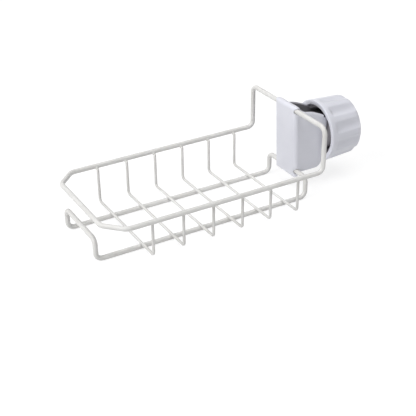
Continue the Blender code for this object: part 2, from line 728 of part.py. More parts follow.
def build_cap(parent):
    """End cap with a central boss and a recess for the swivel screw."""
    radius = CAP_SEAT_RADIUS - SEAT_GAP
    hole = SWIVEL_RADIUS + RUN_GAP
    recess = WASHER_RADIUS + RUN_GAP
    profile = [(BOSS_END, hole, 0), (BOSS_END, BOSS_RADIUS, 0), (CAP_INNER, BOSS_RADIUS, 0),
               (CAP_INNER, radius, 0), (CAP_OUTER - CAP_EDGE, radius, 0), (CAP_OUTER, radius - CAP_EDGE, 0),
               (CAP_OUTER, recess, 0), (RECESS_FLOOR, recess, 0), (RECESS_FLOOR, hole, 0)]
    mesh_object("nut_end_cap", lathe(profile, NUT_HEIGHT, 48), parent, HOUSING_PLASTIC, NUT_ORIGIN)


# Presser and swivel

def build_presser(parent):
    """Plate that slides between the walls, with a stem back to the nut's cap."""
    plate = rounded_plate(PRESSER_HALF_WIDTH, NUT_HEIGHT - PRESSER_HALF_HEIGHT,
                          NUT_HEIGHT + PRESSER_HALF_HEIGHT, PRESSER_CORNER, PLATE_FRONT,
                          PLATE_FRONT + PLATE_THICK)
    block = mesh_object("presser_block", plate, parent, DARK_PLASTIC, NUT_ORIGIN)
    root = PLATE_FRONT + PLATE_THICK / 2
    stem = mesh_object("presser_stem", rod(root, STEM_END, STEM_RADIUS, NUT_HEIGHT, 32), parent, None,
                       NUT_ORIGIN)
    use_tool(block, stem, "UNION")
    behind = PLATE_FRONT + PLATE_THICK + GUSSET_LENGTH
    rib = prism([(root, NUT_HEIGHT - PRESSER_HALF_HEIGHT + PRESSER_CORNER),
                 (root, NUT_HEIGHT + PRESSER_HALF_HEIGHT - PRESSER_CORNER),
                 (behind, NUT_HEIGHT + STEM_RADIUS / 2), (behind, NUT_HEIGHT - STEM_RADIUS / 2)],
                -GUSSET_THICK / 2, GUSSET_THICK / 2, along_y)
    use_tool(block, mesh_object("presser_rib", rib, parent, None, NUT_ORIGIN), "UNION")
    tip = HEAD_SEAT - SWIVEL_LENGTH
    bore = rod(tip - SEAT_GAP, STEM_END + OVERRUN, SWIVEL_RADIUS + SEAT_GAP, NUT_HEIGHT, 16)
    use_tool(block, mesh_object("presser_bore", bore, parent, None, NUT_ORIGIN), "DIFFERENCE")
    reach = PRESSER_HALF_HEIGHT - PAD_MARGIN
    pad = rounded_plate(PRESSER_HALF_WIDTH - PAD_MARGIN, NUT_HEIGHT - reach, NUT_HEIGHT + reach,
                        PRESSER_CORNER - PAD_MARGIN, PRESSER_FACE, PRESSER_FACE + PAD_THICK)
    mesh_object("presser_pad", pad, parent, DARK_RUBBER, NUT_ORIGIN)


def build_swivel(parent):
    build_screw("swivel_screw", HEAD_SEAT, SWIVEL_LENGTH, SWIVEL_RADIUS, SWIVEL_HEAD_RADIUS,
                SWIVEL_HEAD_HEIGHT, NUT_HEIGHT, parent, NUT_ORIGIN)
    hole = SWIVEL_RADIUS + SEAT_GAP
    washer = [(WASHER_SEAT, hole, 0), (WASHER_SEAT, WASHER_RADIUS, 0),
              (WASHER_OUTER, WASHER_RADIUS, 0), (WASHER_OUTER, hole, 0)]
    mesh_object("swivel_washer", lathe(washer, NUT_HEIGHT, 24), parent, SCREW_STEEL, NUT_ORIGIN)


def main():
    clear_scene()
    rack = make_empty("rack_datum", (-CENTRE_X, 0, THICK_R))
    build_rim(rack)
    build_base(rack)
    build_cross_wires(rack)
    build_cover(rack)
    build_body(rack)
    build_jaw(rack)
    build_cover_screws(rack)
    build_liner(rack)
    build_presser(rack)
    build_swivel(rack)
    build_nut(rack)
    build_sleeve(rack)
    build_cap(rack)


main()
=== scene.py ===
# Looks of the sink organizer rack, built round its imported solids.
# Metres, +Z up, in the solids' own frame: the basket's tip is at -X, the nut at +X.

import math

import bmesh
import bpy
from mathutils import Euler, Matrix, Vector


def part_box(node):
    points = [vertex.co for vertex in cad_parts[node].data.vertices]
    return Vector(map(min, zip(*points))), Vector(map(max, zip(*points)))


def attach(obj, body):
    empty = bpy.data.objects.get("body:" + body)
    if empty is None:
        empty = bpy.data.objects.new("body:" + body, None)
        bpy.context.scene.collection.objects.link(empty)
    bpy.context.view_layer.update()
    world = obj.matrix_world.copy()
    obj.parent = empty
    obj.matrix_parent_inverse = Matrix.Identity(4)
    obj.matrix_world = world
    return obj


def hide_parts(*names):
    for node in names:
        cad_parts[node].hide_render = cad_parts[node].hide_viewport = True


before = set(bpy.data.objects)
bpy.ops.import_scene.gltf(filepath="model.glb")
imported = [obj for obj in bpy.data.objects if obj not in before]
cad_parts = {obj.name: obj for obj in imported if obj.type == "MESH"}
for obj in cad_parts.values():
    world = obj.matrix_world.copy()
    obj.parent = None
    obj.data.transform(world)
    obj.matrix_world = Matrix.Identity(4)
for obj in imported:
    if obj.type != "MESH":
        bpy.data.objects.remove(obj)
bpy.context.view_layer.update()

# Camera: place, aim in degrees, lens and sensor in millimetres
CAMERA_PLACE = (-0.34102, -0.57459, 0.37657)
CAMERA_AZIMUTH = 29.8247
CAMERA_DOWN = 29.5983
CAMERA_ROLL = -0.6612
CAMERA_LENS = 78.90
CAMERA_SENSOR = 36.0

# Surroundings: linear colours, lamp power in watts, sizes in metres
FLOOR_SIZE = 4.0
SEEN_FLOOR = (0.30, 0.30, 0.30)
LIT_FLOOR = (0.86, 0.86, 0.86)
BACKDROP = (1.0, 1.0, 1.0)
FLOOR_GLOW = 0.78
SKY_COLOUR = (0.97, 0.98, 1.0)
SKY_STRENGTH = 0.20
LAMP_DISTANCE = 3.0
SOFTBOXES = (
    ("key_softbox", (-0.80, -0.10, 0.60), 1.8, 53.0),
    ("top_softbox", (-0.10, 0.42, 1.0), 2.2, 27.0),
    ("front_softbox", (-0.10, -0.45, 1.0), 1.6, 29.0),
)

# Wires
THICK_R = 0.0020
THIN_R = 0.00115
TIP_WIDTH = 0.0752
TIP_CUT = 0.0145
TIP_BEND = 0.0080
UPRIGHT_BEND = 0.0055
TOP_BEND = 0.0060
BASE_BEND = 0.0055
CROSS_BEND = 0.0030
CROSS_WIRES = 6
BEND_STEPS = 10
THICK_SIDES = 28
THIN_SIDES = 20
END_ROUND_SHARES = ((0.5, 0.87), (0.87, 0.5), (1.0, 0.12))
WELD_SIDES = 16
WELD_RINGS = 10
WELD_SPREAD = 0.0015
WELD_DEPTH = 0.0007
WELD_UNEVEN = 0.00006
WELD_LIFT = 0.00015
WELD_DROP = 0.0012

# Clamp housing
CORNER_ROUND = 0.0041
CORNER_STEPS = 12
WRAP_STEPS = 14
HEEL_STEPS = 14
EDGE_STEPS = 5
EDGE_ROUND = 0.0018
WALL_ROUND = 0.0030
LIP_DEPTH = 0.0053
LIP_ROUND = 0.0012
HEEL_ROUND = 0.0070
WALL_THICK = 0.0026
WALL_TOP_DROP = 0.0023
WALL_FALL = 0.0074
WALL_FALL_POWER = 1.8
CROWN_STEPS = 10
CROWN_FOOT_SHARE = 1 / 7
WALL_STEPS = 14
BELLY_DROP = 0.0014
BELLY_START = 0.00725
BELLY_FULL = 0.0145
NECK_LENGTH = 0.0036
NECK_DROP = 0.0026
PLATE_BACK = 0.0076
WIRE_HOLE = 0.0025
HOLE_SIDES = 40
OVERRUN = 0.0020
SEAM_SPARE = 0.0010
SEAM_LINE = 0.00008

# Nut and its cap
NUT_TAPER = 0.0016
FLUTES = 11
FLUTE_STEPS = 24
FLUTE_DEPTH = 0.0019
FLUTE_HALF_SHARE = 0.33
FLUTE_POWER = 1.05
FLUTE_TURN_SHARE = 0.775
FLUTE_BAND = 0.0044
FLUTE_START = 0.0028
RUNOUT_SHARES = ((0.0, 0.0), (0.25, 0.16), (0.5, 0.5), (0.75, 0.84), (1.0, 1.0))
NUT_SHOULDER = 0.0045
SHOULDER_DROP = 0.0042
SHOULDER_STEPS = 10
NUT_LIP = 0.0007
LIP_STEPS = 4
NUT_BORE = 0.0227
NUT_MOUTH = 0.0009
RIM_STEP_RADIUS = 0.0248
RIM_STEP_WIDTH = 0.0002
RIM_STEP_DEPTH = 0.0003
CAP_RECESS = 0.0004
CAP_THICK = 0.0029
CAP_EDGE = 0.0005
CAP_DISH_RADIUS = 0.0172
CAP_DISH_DEPTH = 0.0006
CAP_HUB_RADIUS = 0.0082
BOSS_RADIUS = 0.0080
CAP_SIDES = 96

# Screws, washer and swivel
SCREW_SIDES = 40
COVER_SHANK = 0.00125
COVER_HEAD_HEIGHT = 0.0012
SWIVEL_SHANK = 0.0015
SWIVEL_HEAD_HEIGHT = 0.0017
POINT_WIDTH_SHARE = 0.24
POINT_LENGTH_SHARE = 0.6
HEAD_RIM_SHARE = 0.45
HEAD_TOP_SHARES = ((0.70, 0.96), (0.88, 0.86), (1.0, 0.70))
DRIVE_WIDTH_SHARE = 0.24
DRIVE_SPAN_SHARE = 1.1
DRIVE_DEPTH_SHARE = 0.55
DRIVE_TAPER_SHARE = 0.6
WASHER_HOLE = 0.0018
WASHER_EDGE_SHARE = 1 / 4
CAP_HOLE = 0.0019
THIN_GAP = 0.0004

# Rubber pads
PAD_CORNER = 0.0020
PAD_CORNER_STEPS = 8
PAD_EDGE = 0.0004
PAD_EDGE_STEPS = 4
PAD_GROOVE_PITCH = 0.0040
PAD_GROOVE_WIDTH = 0.0010
PAD_GROOVE_DEPTH = 0.0004
PAD_GROOVE_STEPS = 5
PAD_MARGIN = 0.0022

# Tones of the materials, as linear colours: the plain one, the darkest and the lightest
COAT_TONES = ((0.70, 0.695, 0.68), (0.65, 0.64, 0.62), (0.70, 0.695, 0.68))
HOUSING_TONES = ((0.70, 0.705, 0.765), (0.685, 0.69, 0.75), (0.715, 0.72, 0.78))
# The dark plastic's tones are partly its own dark grey and partly painted shade for the inside of the clamp
DARK_AND_SHADE_TONES = ((0.24, 0.23, 0.25), (0.225, 0.215, 0.235), (0.255, 0.245, 0.265))
RUBBER_TONES = ((0.055, 0.053, 0.062), (0.045, 0.043, 0.050), (0.075, 0.073, 0.080))
STEEL_TONES = ((0.56, 0.57, 0.58), (0.48, 0.49, 0.50), (0.63, 0.64, 0.64))

# Roughness: the plain one, the least and the most
COAT_ROUGHNESS = (0.40, 0.32, 0.48)
HOUSING_ROUGHNESS = (0.34, 0.28, 0.38)
DARK_ROUGHNESS = (0.45, 0.38, 0.54)
STEEL_ROUGHNESS = (0.35, 0.26, 0.46)
RUBBER_ROUGHNESS = 0.85

# The clear film on the wires' coat, the rubber's sheen, and the steel as a metal
FILM_WEIGHT = 0.15
FILM_ROUGHNESS = 0.25
RUBBER_SHEEN = 0.25
METAL = 1.0

# Noise patterns: scale and detail. A cloud varies the tone, and a gloss varies the roughness.
COAT_CLOUD = (55, 3)
COAT_GLOSS = (240, 2)
HOUSING_CLOUD = (40, 3)
HOUSING_GLOSS = (420, 3)
DARK_CLOUD = (90, 3)
DARK_GLOSS = (500, 2)
RUBBER_CLOUD = (260, 4)
STEEL_CLOUD = (300, 4)
STEEL_GLOSS = (900, 3)

# Part of a cloud's range that the tones spread over, and stretches of a pattern along X, Y and Z
CLOUD_SPAN = (0.35, 0.65)
EVEN_STRETCH = (1, 1, 1)
TURNED_STRETCH = (6, 1, 1)

# Relief of the surfaces: a noise pattern's scale and detail, and its height in metres
COAT_FLOW = (130, 2, 0.00010)
COAT_GRAIN = (900, 2, 0.00002)
HOUSING_SINK = (70, 2, 0.00006)
HOUSING_GRAIN = (2600, 2, 0.000012)
DARK_GRAIN = (3200, 2, 0.00003)
RUBBER_GRAIN = (1800, 3, 0.00004)
STEEL_MARKS = (1400, 2, 0.00002)

# Rounding of edges, and limits below which edges and points count as one
ROUND_PROFILE = 0.5
FINE_ROUND = 0.00025
FINE_STEPS = 2
SLIVER = 0.00003
SHARP_ANGLE = math.radians(40)
SMOOTH_ANGLE = math.radians(38)
FLAT_ANGLE = math.radians(0.3)
SAME_PLACE = 0.00001


def corners_of(node):
    """Lowest and highest corner of the box round a solid."""
    low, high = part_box(node)
    return Vector(low), Vector(high)


# Places that the housing and the nut are built from
BAR_INSET = Vector((THICK_R, 0, THICK_R))
UPPER_BAR = corners_of("rim_wire")[1] - BAR_INSET
LOWER_BAR = corners_of("base_wire")[1] - BAR_INSET
COVER_LOW, COVER_HIGH = corners_of("front_cover")
BODY_LOW, BODY_HIGH = corners_of("clamp_body")
WRAP_R = COVER_HIGH.z - UPPER_BAR.z
CROWN = Vector((COVER_LOW.x + WRAP_R, 0, UPPER_BAR.z))
FACE_LEAN = math.atan2(LOWER_BAR.x - UPPER_BAR.x, UPPER_BAR.z - LOWER_BAR.z)
SEAM_NORMAL = Vector((math.cos(FACE_LEAN), 0, math.sin(FACE_LEAN)))
NUT_LOW, NUT_HIGH = corners_of("clamp_nut")
NUT_AXIS = (NUT_LOW.z + NUT_HIGH.z) / 2
NUT_R = NUT_HIGH.y


# Tools for modelling

def leave_editing():
    """Go back to object mode, with nothing chosen."""
    if bpy.context.mode != "OBJECT":
        bpy.ops.object.mode_set(mode="OBJECT")
    bpy.ops.object.select_all(action="DESELECT")


def choose(piece):
    """Leave editing and make a piece the only one that is chosen."""
    leave_editing()
    piece.select_set(True)
    bpy.context.view_layer.objects.active = piece


def open_whole(piece):
    """Open a piece for editing, unless it is open already, and select all of it."""
    if piece.mode != "EDIT":
        choose(piece)
        bpy.ops.object.mode_set(mode="EDIT")
    bpy.ops.mesh.select_mode(type="VERT")
    bpy.ops.mesh.select_all(action="SELECT")


def begin(name, add, **options):
    """Add a primitive at its size and place and open it for editing."""
    leave_editing()
    add(**options)
    piece = bpy.context.object
    piece.name = name
    bpy.ops.object.transform_apply(location=True, rotation=True, scale=True)
    bpy.ops.object.mode_set(mode="EDIT")
    return piece


def begin_block(name, low, high):
    """Open a block between two corners for editing."""
    low, high = Vector(low), Vector(high)
    return begin(name, bpy.ops.mesh.primitive_cube_add, size=1, location=(low + high) / 2, scale=high - low)


def pick(piece, kind, test):
    """Select the vertices, edges or faces whose points all pass the test."""
    bpy.ops.mesh.select_mode(type="VERT")
    bpy.ops.mesh.select_all(action="DESELECT")
    bpy.ops.mesh.select_mode(type=kind)
    mesh = bmesh.from_edit_mesh(piece.data)
    items = {"VERT": mesh.verts, "EDGE": mesh.edges, "FACE": mesh.faces}[kind]
    for item in items:
        points = [item.co] if kind == "VERT" else [v.co for v in item.verts]
        item.select_set(all(test(p) for p in points))
    bmesh.update_edit_mesh(piece.data)


def pick_edges(piece, test):
    """Select the edges whose two ends pass the test together."""
    bpy.ops.mesh.select_mode(type="EDGE")
    bpy.ops.mesh.select_all(action="DESELECT")
    mesh = bmesh.from_edit_mesh(piece.data)
    for edge in mesh.edges:
        first, second = edge.verts
        edge.select_set(test(first.co, second.co))
    bmesh.update_edit_mesh(piece.data)


def near(a, b):
    """Whether two measures are the same place."""
    return abs(a - b) < SAME_PLACE


def round_off(amount, steps):
    """Round the selected edges."""
    bpy.ops.mesh.bevel(offset=amount, segments=steps, profile=ROUND_PROFILE)


def use_modifier(piece, kind, **settings):
    """Add a modifier and apply it."""
    choose(piece)
    modifier = piece.modifiers.new(kind.title(), kind)
    for key, value in settings.items():
        setattr(modifier, key, value)
    bpy.ops.object.modifier_apply(modifier=modifier.name)


def carve(piece, tool, operation="DIFFERENCE"):
    """Cut or keep with another solid, which is then removed."""
    use_modifier(piece, "BOOLEAN", object=tool, operation=operation, solver="MANIFOLD")
    bpy.data.objects.remove(tool, do_unlink=True)


def close_up(piece, threshold=SAME_PLACE):
    """Merge doubles and turn every face outwards."""
    open_whole(piece)
    bpy.ops.mesh.remove_doubles(threshold=threshold)
    bpy.ops.mesh.normals_make_consistent(inside=False)
    bpy.ops.object.mode_set(mode="OBJECT")


def finish(piece, material, body, slot, *nodes):
    """Smooth a piece, give it its material, and put it on its body in place of its nodes."""
    choose(piece)
    bpy.ops.object.shade_smooth_by_angle(angle=SMOOTH_ANGLE)
    piece.data.materials.clear()
    piece.data.materials.append(material)
    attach(piece, body)
    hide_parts(*nodes)


# Materials

def new_material(name, colour, roughness, metallic=0.0):
    """A plain material and its shader."""
    material = bpy.data.materials.new(name)
    material.use_nodes = True
    shader = material.node_tree.nodes["Principled BSDF"]
    shader.inputs["Base Color"].default_value = (*colour, 1.0)
    shader.inputs["Roughness"].default_value = roughness
    shader.inputs["Metallic"].default_value = metallic
    return material, shader


def add_noise(material, scale, detail, stretch=EVEN_STRETCH):
    """Noise on the piece's own coordinates, with a stretch along its axes."""
    nodes, links = material.node_tree.nodes, material.node_tree.links
    place = nodes.new("ShaderNodeTexCoord")
    mapping = nodes.new("ShaderNodeMapping")
    mapping.inputs["Scale"].default_value = stretch
    noise = nodes.new("ShaderNodeTexNoise")
    noise.inputs["Scale"].default_value = scale
    noise.inputs["Detail"].default_value = detail
    links.new(place.outputs["Object"], mapping.inputs["Vector"])
    links.new(mapping.outputs["Vector"], noise.inputs["Vector"])
    return noise.outputs["Fac"]


def vary_colour(material, shader, pattern, tones):
    """Blend the base colour between the darkest and the lightest tone by a pattern."""
    nodes, links = material.node_tree.nodes, material.node_tree.links
    ramp = nodes.new("ShaderNodeValToRGB")
    for stop, position, tone in zip(ramp.color_ramp.elements, CLOUD_SPAN, tones[1:]):
        stop.position = position
        stop.color = (*tone, 1.0)
    links.new(add_noise(material, *pattern), ramp.inputs["Fac"])
    links.new(ramp.outputs["Color"], shader.inputs["Base Color"])


def vary_roughness(material, shader, pattern, roughness):
    """Vary the roughness between its least and its most by a pattern."""
    nodes, links = material.node_tree.nodes, material.node_tree.links
    spread = nodes.new("ShaderNodeMapRange")
    spread.inputs["To Min"].default_value = roughness[1]
    spread.inputs["To Max"].default_value = roughness[2]
    links.new(add_noise(material, *pattern), spread.inputs["Value"])
    links.new(spread.outputs["Result"], shader.inputs["Roughness"])


def add_bump(material, shader, relief, under=None, stretch=EVEN_STRETCH):
    """Relief by a noise pattern, on top of another bump if one is given."""
    nodes, links = material.node_tree.nodes, material.node_tree.links
    scale, detail, height = relief
    bump = nodes.new("ShaderNodeBump")
    bump.inputs["Strength"].default_value = 1.0
    bump.inputs["Distance"].default_value = height
    links.new(add_noise(material, scale, detail, stretch), bump.inputs["Height"])
    if under:
        links.new(under, bump.inputs["Normal"])
    links.new(bump.outputs["Normal"], shader.inputs["Normal"])
    return bump.outputs["Normal"]


def make_coated_wire():
    """Warm white dipped coating: slightly uneven in tone, gloss and thickness."""
    material, shader = new_material("coated_wire", COAT_TONES[0], COAT_ROUGHNESS[0])
    shader.inputs["Coat Weight"].default_value = FILM_WEIGHT
    shader.inputs["Coat Roughness"].default_value = FILM_ROUGHNESS
    vary_colour(material, shader, COAT_CLOUD, COAT_TONES)
    vary_roughness(material, shader, COAT_GLOSS, COAT_ROUGHNESS)
    flow = add_bump(material, shader, COAT_FLOW)
    add_bump(material, shader, COAT_GRAIN, flow)
    return material


def make_housing_plastic():
    """Cool light grey moulded plastic with a faint satin texture."""
    material, shader = new_material("housing_plastic", HOUSING_TONES[0], HOUSING_ROUGHNESS[0])
    vary_colour(material, shader, HOUSING_CLOUD, HOUSING_TONES)
    vary_roughness(material, shader, HOUSING_GLOSS, HOUSING_ROUGHNESS)
    sink = add_bump(material, shader, HOUSING_SINK)
    add_bump(material, shader, HOUSING_GRAIN, sink)
    return material


def make_dark_and_shade_plastic():
    """Dark grey plastic with a fine spark texture; its darkness is partly painted shade, for the shade
    inside the clamp's mouth.
    """
    material, shader = new_material("dark_plastic", DARK_AND_SHADE_TONES[0], DARK_ROUGHNESS[0])
    vary_colour(material, shader, DARK_CLOUD, DARK_AND_SHADE_TONES)
    vary_roughness(material, shader, DARK_GLOSS, DARK_ROUGHNESS)
    add_bump(material, shader, DARK_GRAIN)
    return material


def make_dark_rubber():
    """Soft near-black rubber, dull and slightly dusty."""
    material, shader = new_material("dark_rubber", RUBBER_TONES[0], RUBBER_ROUGHNESS)
    shader.inputs["Sheen Weight"].default_value = RUBBER_SHEEN
    vary_colour(material, shader, RUBBER_CLOUD, RUBBER_TONES)
    add_bump(material, shader, RUBBER_GRAIN)
    return material


def make_screw_steel():
    """Zinc-plated steel with fine turning marks and a cloudy plating."""
    material, shader = new_material("screw_steel", STEEL_TONES[0], STEEL_ROUGHNESS[0], METAL)
    vary_colour(material, shader, STEEL_CLOUD, STEEL_TONES)
    vary_roughness(material, shader, STEEL_GLOSS, STEEL_ROUGHNESS)
    add_bump(material, shader, STEEL_MARKS, stretch=TURNED_STRETCH)
    return material


WIRE_COAT = make_coated_wire()
LIGHT_PLASTIC = make_housing_plastic()
# The dark plastic is partly painted shade for the inside of the clamp
DARK_AND_SHADE_PLASTIC = make_dark_and_shade_plastic()
DARK_RUBBER = make_dark_rubber()
STEEL = make_screw_steel()


# Wires

def bend_round(corner, before, after, radius):
    """Where a bend starts and ends, its centre, its axis and its angle."""
    back = (before - corner).normalized()
    ahead = (after - corner).normalized()
    half = back.angle(ahead) / 2
    centre = corner + (back + ahead).normalized() * (radius / math.sin(half))
    reach = radius / math.tan(half)
    axis = (-back).cross(ahead).normalized()
    return corner + back * reach, centre, axis, math.pi - 2 * half, corner + ahead * reach


def run_wire(name, corners, radii, radius, sides):
    """Run a ring straight and bend it round each corner; the last ring stays selected."""
    corners = [Vector(c) for c in corners]
    heading = (corners[1] - corners[0]).normalized()
    turn = Vector((0, 0, 1)).rotation_difference(heading).to_euler()
    wire = begin(name, bpy.ops.mesh.primitive_circle_add, vertices=sides, radius=radius,
                 location=corners[0], rotation=turn)
    bpy.ops.mesh.select_all(action="SELECT")
    here = corners[0]
    for before, corner, after, bend in zip(corners, corners[1:], corners[2:], radii):
        start, centre, axis, angle, end = bend_round(corner, before, after, bend)
        bpy.ops.mesh.extrude_region_move(TRANSFORM_OT_translate={"value": start - here})
        # Spin turns clockwise about its axis, so the axis is reversed.
        bpy.ops.mesh.spin(steps=BEND_STEPS, angle=angle, center=centre, axis=-axis)
        here = end
    bpy.ops.mesh.extrude_region_move(TRANSFORM_OT_translate={"value": corners[-1] - here})
    return wire


def mirror_wire(wire):
    """Complete a half wire that was run on the +Y side."""
    use_modifier(wire, "MIRROR", use_axis=(False, True, False), use_mirror_merge=True,
                 merge_threshold=SAME_PLACE)
    close_up(wire)


def make_rim():
    """Upper crossbar, uprights, rim and tip in one wire."""
    low, high = corners_of("rim_wire")
    side, tip = high.y - THICK_R, TIP_WIDTH / 2
    bar, end = high.x - THICK_R, low.x + THICK_R
    top, rim = high.z - THICK_R, low.z + THICK_R
    corners = [(bar, 0, top), (bar, side, top), (bar, side, rim), (end + TIP_CUT, side, rim),
               (end, tip, rim), (end, 0, rim)]
    bends = (TOP_BEND, UPRIGHT_BEND, TIP_BEND, TIP_BEND)
    wire = run_wire("rim_and_hanger", corners, bends, THICK_R, THICK_SIDES)
    mirror_wire(wire)
    finish(wire, WIRE_COAT, "rack", "coated_wire", "rim_wire")


def make_base():
    """The two rails and the low arch at each end in one wire."""
    low, high = corners_of("base_wire")
    side, floor, top = high.y - THICK_R, low.z + THICK_R, high.z - THICK_R
    front, end = high.x - THICK_R, low.x + THICK_R
    corners = [(front, 0, top), (front, side, top), (front, side, floor), (end, side, floor),
               (end, side, top), (end, 0, top)]
    bends = [BASE_BEND] * len(corners[1:-1])
    wire = run_wire("base_rails", corners, bends, THICK_R, THICK_SIDES)
    mirror_wire(wire)
    finish(wire, WIRE_COAT, "rack", "coated_wire", "base_wire")


def round_end(centre):
    """Dome the selected ring upwards about the centre of its end."""
    width, rise = 1.0, 0.0
    for next_rise, next_width in END_ROUND_SHARES:
        step = Vector((0, 0, THIN_R * (next_rise - rise)))
        bpy.ops.mesh.extrude_region_move(TRANSFORM_OT_translate={"value": step})
        spread = next_width / width
        middle = centre + Vector((0, 0, THIN_R * next_rise))
        bpy.ops.transform.resize(value=(spread, spread, spread), center_override=middle)
        width, rise = next_width, next_rise


def add_weld(place, size):
    """A small uneven bead of coated weld between two wires, in the mesh that is open."""
    bpy.ops.mesh.select_all(action="DESELECT")
    bpy.ops.mesh.primitive_uv_sphere_add(segments=WELD_SIDES, ring_count=WELD_RINGS, radius=1,
                                         location=place, scale=size)
    bpy.ops.transform.vertex_random(offset=WELD_UNEVEN, seed=1)


def add_welds(middle):
    """Join a thin wire to the rim and to the rail, on the +Y side."""
    rim_low, rim_high = corners_of("rim_wire")
    rail_low, rail_high = corners_of("base_wire")
    rail = Vector((middle, rail_high.y - THICK_R, rail_low.z + 2 * THICK_R + WELD_LIFT))
    rim = Vector((middle, rim_high.y - 2 * THICK_R - WELD_LIFT, rim_low.z + THICK_R - WELD_DROP))
    add_weld(rail, (WELD_SPREAD, WELD_SPREAD, WELD_DEPTH))
    add_weld(rim, (WELD_SPREAD, WELD_DEPTH, WELD_SPREAD))


def make_cross_wire(index):
    """A thin U with rounded ends, and the small welds that hold it to rim and rails."""
    node = f"cross_wire_{index}"
    low, high = corners_of(node)
    middle = (low.x + high.x) / 2
    side, floor = high.y - THIN_R, low.z + THIN_R
    corners = [(middle, 0, floor), (middle, side, floor), (middle, side, high.z - THIN_R)]
    wire = run_wire(f"thin_wire_{index}", corners, (CROSS_BEND,), THIN_R, THIN_SIDES)
    round_end(Vector((middle, side, high.z - THIN_R)))
    bpy.ops.mesh.edge_face_add()
    add_welds(middle)
    mirror_wire(wire)
    finish(wire, WIRE_COAT, "rack", "coated_wire", node)


# Clamp housing

def round_outline(piece, half, seam, amount):
    """Round the edges of the two side faces, except along the seam between the halves."""

    def in_outline(a, b):
        in_side = near(abs(a.y), half) and near(a.y, b.y)
        in_seam = near(a.x, seam) and near(b.x, seam)
        return in_side and not in_seam

    pick_edges(piece, in_outline)
    round_off(amount, EDGE_STEPS)


def add_wire_holes(piece):
    """Cut the round channels that the two crossbars lie in."""
    for bar in (UPPER_BAR, LOWER_BAR):
        hole = begin("wire_hole", bpy.ops.mesh.primitive_cylinder_add, vertices=HOLE_SIDES,
                     radius=WIRE_HOLE, depth=2 * COVER_HIGH.y + OVERRUN, rotation=(math.pi / 2, 0, 0),
                     location=(bar.x, 0, bar.z))
        carve(piece, hole)


def soften_edges(piece):
    """Merge slivers and flat faces, then round off what is still sharp, by a little."""
    close_up(piece, SLIVER)
    open_whole(piece)
    bpy.ops.mesh.dissolve_limited(angle_limit=FLAT_ANGLE)
    use_modifier(piece, "BEVEL", width=FINE_ROUND, segments=FINE_STEPS, limit_method="ANGLE",
                 angle_limit=SHARP_ANGLE)
    close_up(piece, SLIVER)


def trim_at_seam(piece, place, normal):
    """Cut a half of the housing off flat at the seam and close it there."""
    open_whole(piece)
    bpy.ops.mesh.bisect(plane_co=place, plane_no=normal, use_fill=True, clear_outer=True,
                        threshold=SAME_PLACE)
    close_up(piece)


def lean():
    """Turn the open upright piece about the crown, so that it follows the two crossbars."""
    bpy.ops.mesh.select_all(action="SELECT")
    bpy.ops.transform.rotate(value=FACE_LEAN, orient_axis="Y", orient_type="GLOBAL", center_override=CROWN)


def make_cover():
    """Front half of the housing: rolled over the upper crossbar, with rounded upright corners."""
    half = COVER_HIGH.y
    front, back = CROWN.x - WRAP_R, CROWN.x + SEAM_SPARE
    top, bottom = CROWN.z + WRAP_R, LOWER_BAR.z - LIP_DEPTH
    cover = begin_block("cover_shell", (front, -half, bottom), (back, half, top))
    pick(cover, "EDGE", lambda p: near(p.x, front) and near(p.z, top))
    round_off(WRAP_R, WRAP_STEPS)
    pick(cover, "EDGE", lambda p: near(p.x, front) and near(p.z, bottom))
    round_off(LIP_ROUND, EDGE_STEPS)
    round_outline(cover, half, back, EDGE_ROUND)
    lean()
    plan = begin_block("cover_plan", (front, -half, bottom - OVERRUN), (back + OVERRUN, half, top + OVERRUN))
    pick(plan, "EDGE", lambda p: near(p.x, front) and near(abs(p.y), half))
    round_off(CORNER_ROUND, CORNER_STEPS)
    lean()
    carve(cover, plan, "INTERSECT")
    add_wire_holes(cover)
    soften_edges(cover)
    trim_at_seam(cover, CROWN, SEAM_NORMAL)
    finish(cover, LIGHT_PLASTIC, "rack", "housing_plastic", "front_cover")


def wall_top(x, wall_end):
    """Height of the rear body's top: the crown over the crossbar, then a falling edge."""
    reach = max(0, x - CROWN.x)
    if reach < WRAP_R + SAME_PLACE:
        return CROWN.z + math.sqrt(max(0, WRAP_R ** 2 - reach ** 2))
    share = (reach - WRAP_R) / (wall_end - CROWN.x - WRAP_R)
    return CROWN.z - WALL_TOP_DROP - WALL_FALL * share ** WALL_FALL_POWER


def cut_across(place, normal):
    """Bisect everything by a plane and keep both sides."""
    bpy.ops.mesh.select_all(action="SELECT")
    bpy.ops.mesh.bisect(plane_co=place, plane_no=normal, threshold=SAME_PLACE)


def cut_columns(wall_end):
    """Cut the block where its outline bends; returns the places of the cuts along X."""
    quarter = math.pi / 2
    columns = [CROWN.x + WRAP_R * math.sin(quarter * k / CROWN_STEPS) for k in range(1, CROWN_STEPS + 1)]
    reach = wall_end - columns[-1]
    foot = columns[-1] + reach * CROWN_FOOT_SHARE
    columns += [foot + (wall_end - foot) * k / WALL_STEPS for k in range(WALL_STEPS)]
    columns += [UPPER_BAR.x + BELLY_START, UPPER_BAR.x + BELLY_FULL]
    for x in columns:
        cut_across((x, 0, 0), (1, 0, 0))
    return columns


def shape_top(shell, columns, top, wall_end):
    """Lower the block's top at each cut, so that it follows the crown and the falling edge."""
    for x in columns + [wall_end]:
        pick(shell, "VERT", lambda p: near(p.x, x) and near(p.z, top))
        bpy.ops.transform.translate(value=(0, 0, wall_top(x, wall_end) - top))


def shape_belly(shell):
    """Raise the front of the underside a little above the belly."""
    end = UPPER_BAR.x + BELLY_START + SAME_PLACE
    pick(shell, "VERT", lambda p: near(p.z, BODY_LOW.z) and p.x < end)
    bpy.ops.transform.translate(value=(0, 0, BELLY_DROP))


